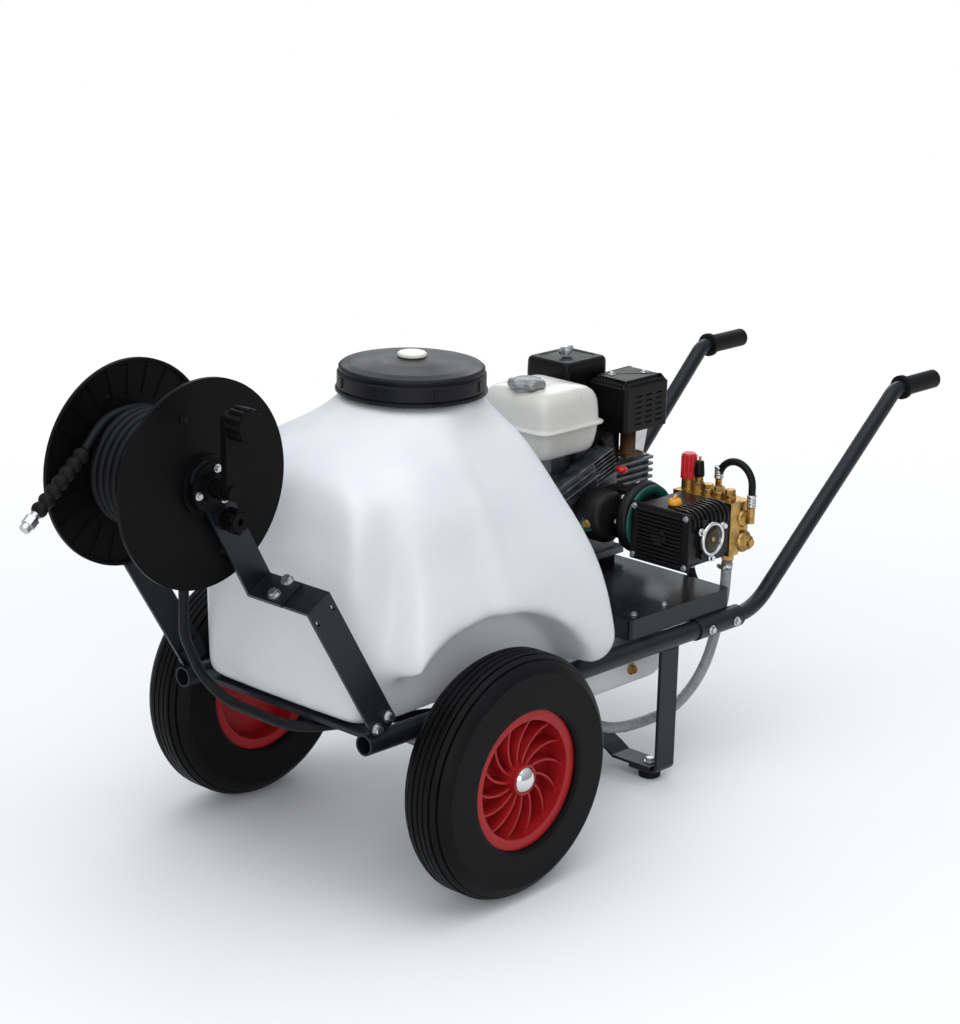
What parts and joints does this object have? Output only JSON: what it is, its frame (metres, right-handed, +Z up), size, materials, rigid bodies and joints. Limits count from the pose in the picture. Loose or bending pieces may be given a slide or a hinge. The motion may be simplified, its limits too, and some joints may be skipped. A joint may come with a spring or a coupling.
{
  "type": "wheeled sprayer cart",
  "caption": "Barrow-wheeled sprayer cart with a moulded tank, a hose reel on folded arms, and an engine-driven plunger pump on a deck between two bent handles.",
  "frame": {"origin": "on the ground, at the middle of the length and the width", "axes": "+X towards the handles, +Y to the operator's right, +Z up"},
  "size_m": [1.9022, 0.701, 0.8863],
  "materials": {
    "frame_paint": "satin dark blue-black powder coat",
    "bare_steel": "zinc plated",
    "foot_rubber": "matt",
    "tyre_rubber": "matt",
    "rim_red": "moulded, semi-gloss",
    "cap_chrome": "polished",
    "tank_white": "translucent rotomoulded",
    "black_plastic": "fine grain",
    "vent_cream": "smooth",
    "brass": "cast and machined",
    "hose_rubber": "matt",
    "clear_hose": "clear ribbed",
    "engine_alloy": "cast, dark",
    "engine_black": "satin black sheet",
    "fuel_white": "gloss",
    "knob_red": "moulded"
  },
  "bodies": {
    "chassis": {"left_rail": "frame_paint", "right_rail": "frame_paint", "cross_bars": "frame_paint", "axle": "bare_steel", "weld_plates": "frame_paint", "left_leg": "frame_paint", "right_leg": "frame_paint", "leg_brace": "frame_paint", "rubber_feet": "foot_rubber", "left_handle": "frame_paint", "right_handle": "frame_paint", "left_grip": "foot_rubber", "right_grip": "foot_rubber", "hub_caps": "cap_chrome", "spray_tank": "tank_white", "neck_ring": "black_plastic", "sump_fittings": "brass", "left_bracket": "frame_paint", "right_bracket": "frame_paint", "left_arm": "frame_paint", "right_arm": "frame_paint", "bearing_plates": "black_plastic", "swivel_inlet": "bare_steel", "engine_deck": "frame_paint", "engine_mounts": "foot_rubber", "engine_block": "engine_alloy", "fan_cover": "black_plastic", "fuel_tank": "fuel_white", "air_cleaner": "black_plastic", "muffler": "engine_black", "gearbox": "engine_alloy", "pump_body": "engine_alloy", "pump_cover": "engine_alloy", "pump_head": "brass", "feed_hose": "hose_rubber", "suction_hose": "clear_hose", "bypass_hose": "hose_rubber", "bolts": "bare_steel"},
    "left_wheel": {"left_rim": "rim_red", "left_tyre": "tyre_rubber"},
    "right_wheel": {"right_rim": "rim_red", "right_tyre": "tyre_rubber"},
    "reel": {"reel_drum": "black_plastic", "left_flange": "black_plastic", "right_flange": "black_plastic", "hose_core": "hose_rubber", "reel_hose": "hose_rubber", "hose_tail": "hose_rubber", "bend_restrictor": "hose_rubber", "hose_ferrule": "bare_steel", "crank_arm": "black_plastic"},
    "crank_grip": {"crank_knob": "black_plastic"},
    "reel_lock": {"lock_knob": "black_plastic"},
    "lid": {"tank_lid": "black_plastic", "lid_vent": "vent_cream"},
    "fuel_lid": {"fuel_cap": "bare_steel"},
    "air_nut": {"wing_nut": "bare_steel"},
    "throttle": {"throttle_lever": "bare_steel"},
    "starter": {"recoil_grip": "black_plastic"},
    "pressure_knob": {"unloader_knob": "knob_red"}
  },
  "joints": [
    {"name": "left_wheel_spin", "type": "hinge", "parent": "chassis", "child": "left_wheel", "pos_m": [-0.33744, -0.299, 0.2], "axis": [0, 1, 0], "continuous": true},
    {"name": "right_wheel_spin", "type": "hinge", "parent": "chassis", "child": "right_wheel", "pos_m": [-0.33744, 0.299, 0.2], "axis": [0, 1, 0], "continuous": true},
    {"name": "reel_spin", "type": "hinge", "parent": "chassis", "child": "reel", "pos_m": [-0.75192, 0, 0.72785], "axis": [0, 1, 0], "continuous": true},
    {"name": "crank_knob_spin", "type": "hinge", "parent": "reel", "child": "crank_grip", "pos_m": [-0.74707, -0.17, 0.83474], "axis": [0, 1, 0], "continuous": true},
    {"name": "reel_lock_turn", "type": "hinge", "parent": "chassis", "child": "reel_lock", "pos_m": [-0.72358, -0.115, 0.6727], "axis": [0, 1, 0], "range_deg": [0, 360]},
    {"name": "lid_lift", "type": "slide", "parent": "chassis", "child": "lid", "axis": [0.0454, 0, 0.999], "range_m": [0, 0.12]},
    {"name": "fuel_cap_lift", "type": "slide", "parent": "chassis", "child": "fuel_lid", "axis": [0.0454, 0, 0.999], "range_m": [0, 0.05]},
    {"name": "wing_nut_turn", "type": "hinge", "parent": "chassis", "child": "air_nut", "pos_m": [0.32638, 0.165, 0.66597], "axis": [0.0454, 0, 0.999], "continuous": true},
    {"name": "throttle_swing", "type": "hinge", "parent": "chassis", "child": "throttle", "pos_m": [0.3267, 0.196, 0.54082], "axis": [0, 1, 0], "range_deg": [-20, 20]},
    {"name": "starter_pull", "type": "slide", "parent": "chassis", "child": "starter", "axis": [0.0454, 0, 0.999], "range_m": [0, 0.028], "stiffness_N_per_m": 40, "springref_m": -0.05},
    {"name": "pressure_turn", "type": "hinge", "parent": "chassis", "child": "pressure_knob", "pos_m": [0.36626, -0.088, 0.48597], "axis": [0.0454, 0, 0.999], "range_deg": [0, 360]}
  ]
}
